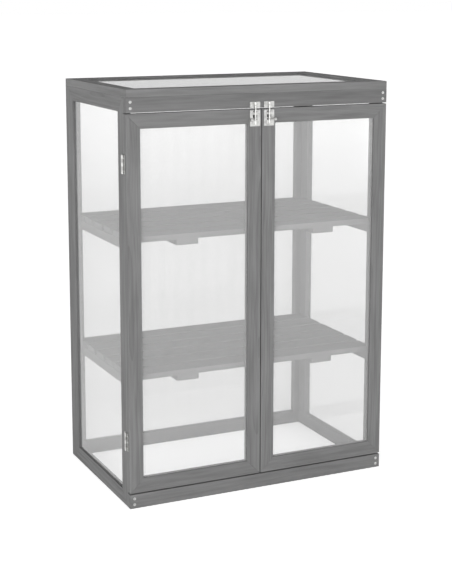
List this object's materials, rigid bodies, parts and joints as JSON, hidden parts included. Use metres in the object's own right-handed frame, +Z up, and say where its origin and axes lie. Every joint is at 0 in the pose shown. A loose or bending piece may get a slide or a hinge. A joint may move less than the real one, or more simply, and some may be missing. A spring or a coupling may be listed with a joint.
{
  "type": "wooden mini greenhouse",
  "caption": "Grey timber plant cabinet with clear twin-wall panels, two hinged doors with bolts, and two slatted shelves.",
  "frame": {"origin": "on the ground, under the middle of the whole outline with its hinges and bolts", "axes": "+X to the right, +Y to the back, +Z up; the doors face -Y"},
  "size_m": [0.7726, 0.4844, 1.1],
  "materials": {
    "stained_timber": "grey stain on planed softwood",
    "twin_wall_sheet": "clear twin-wall sheet",
    "zinc_hardware": "bright zinc plate"
  },
  "bodies": {
    "cabinet": {"header": "stained_timber", "plinth": "stained_timber", "left_side_bottom_rail": "stained_timber", "left_side_back_stile": "stained_timber", "left_side_top_rail": "stained_timber", "left_side_front_stile": "stained_timber", "left_side_sheet": "twin_wall_sheet", "right_side_bottom_rail": "stained_timber", "right_side_back_stile": "stained_timber", "right_side_top_rail": "stained_timber", "right_side_front_stile": "stained_timber", "right_side_sheet": "twin_wall_sheet", "back_bottom_rail": "stained_timber", "back_right_stile": "stained_timber", "back_top_rail": "stained_timber", "back_left_stile": "stained_timber", "back_sheet": "twin_wall_sheet", "roof_front_rail": "stained_timber", "roof_right_rail": "stained_timber", "roof_back_rail": "stained_timber", "roof_left_rail": "stained_timber", "roof_sheet": "twin_wall_sheet", "upper_shelf": "stained_timber", "upper_left_cleat": "stained_timber", "upper_right_cleat": "stained_timber", "lower_shelf": "stained_timber", "lower_left_cleat": "stained_timber", "lower_right_cleat": "stained_timber", "left_upper_hinge_frame_leaf": "zinc_hardware", "left_upper_hinge_pin": "zinc_hardware", "left_lower_hinge_frame_leaf": "zinc_hardware", "left_lower_hinge_pin": "zinc_hardware", "left_bolt_keeper": "zinc_hardware", "right_upper_hinge_frame_leaf": "zinc_hardware", "right_upper_hinge_pin": "zinc_hardware", "right_lower_hinge_frame_leaf": "zinc_hardware", "right_lower_hinge_pin": "zinc_hardware", "right_bolt_keeper": "zinc_hardware"},
    "left_door": {"left_door_bottom_rail": "stained_timber", "left_door_right_stile": "stained_timber", "left_door_top_rail": "stained_timber", "left_door_left_stile": "stained_timber", "left_door_sheet": "twin_wall_sheet", "left_upper_hinge_door_leaf": "zinc_hardware", "left_lower_hinge_door_leaf": "zinc_hardware", "left_bolt_plate": "zinc_hardware"},
    "left_bolt": {"left_bolt_rod": "zinc_hardware", "left_bolt_knob": "zinc_hardware"},
    "right_door": {"right_door_bottom_rail": "stained_timber", "right_door_right_stile": "stained_timber", "right_door_top_rail": "stained_timber", "right_door_left_stile": "stained_timber", "right_door_sheet": "twin_wall_sheet", "right_upper_hinge_door_leaf": "zinc_hardware", "right_lower_hinge_door_leaf": "zinc_hardware", "right_bolt_plate": "zinc_hardware"},
    "right_bolt": {"right_bolt_rod": "zinc_hardware", "right_bolt_knob": "zinc_hardware"}
  },
  "joints": [
    {"name": "left_door_hinge", "type": "hinge", "parent": "cabinet", "child": "left_door", "pos_m": [-0.3833, -0.20768, 0.5], "axis": [0, 0, -1], "range_deg": [0, 175]},
    {"name": "left_bolt_slide", "type": "slide", "parent": "left_door", "child": "left_bolt", "axis": [0, 0, 1], "range_m": [0, 0.008]},
    {"name": "right_door_hinge", "type": "hinge", "parent": "cabinet", "child": "right_door", "pos_m": [0.3833, -0.20768, 0.5], "axis": [0, 0, 1], "range_deg": [0, 175]},
    {"name": "right_bolt_slide", "type": "slide", "parent": "right_door", "child": "right_bolt", "axis": [0, 0, 1], "range_m": [0, 0.008]}
  ]
}
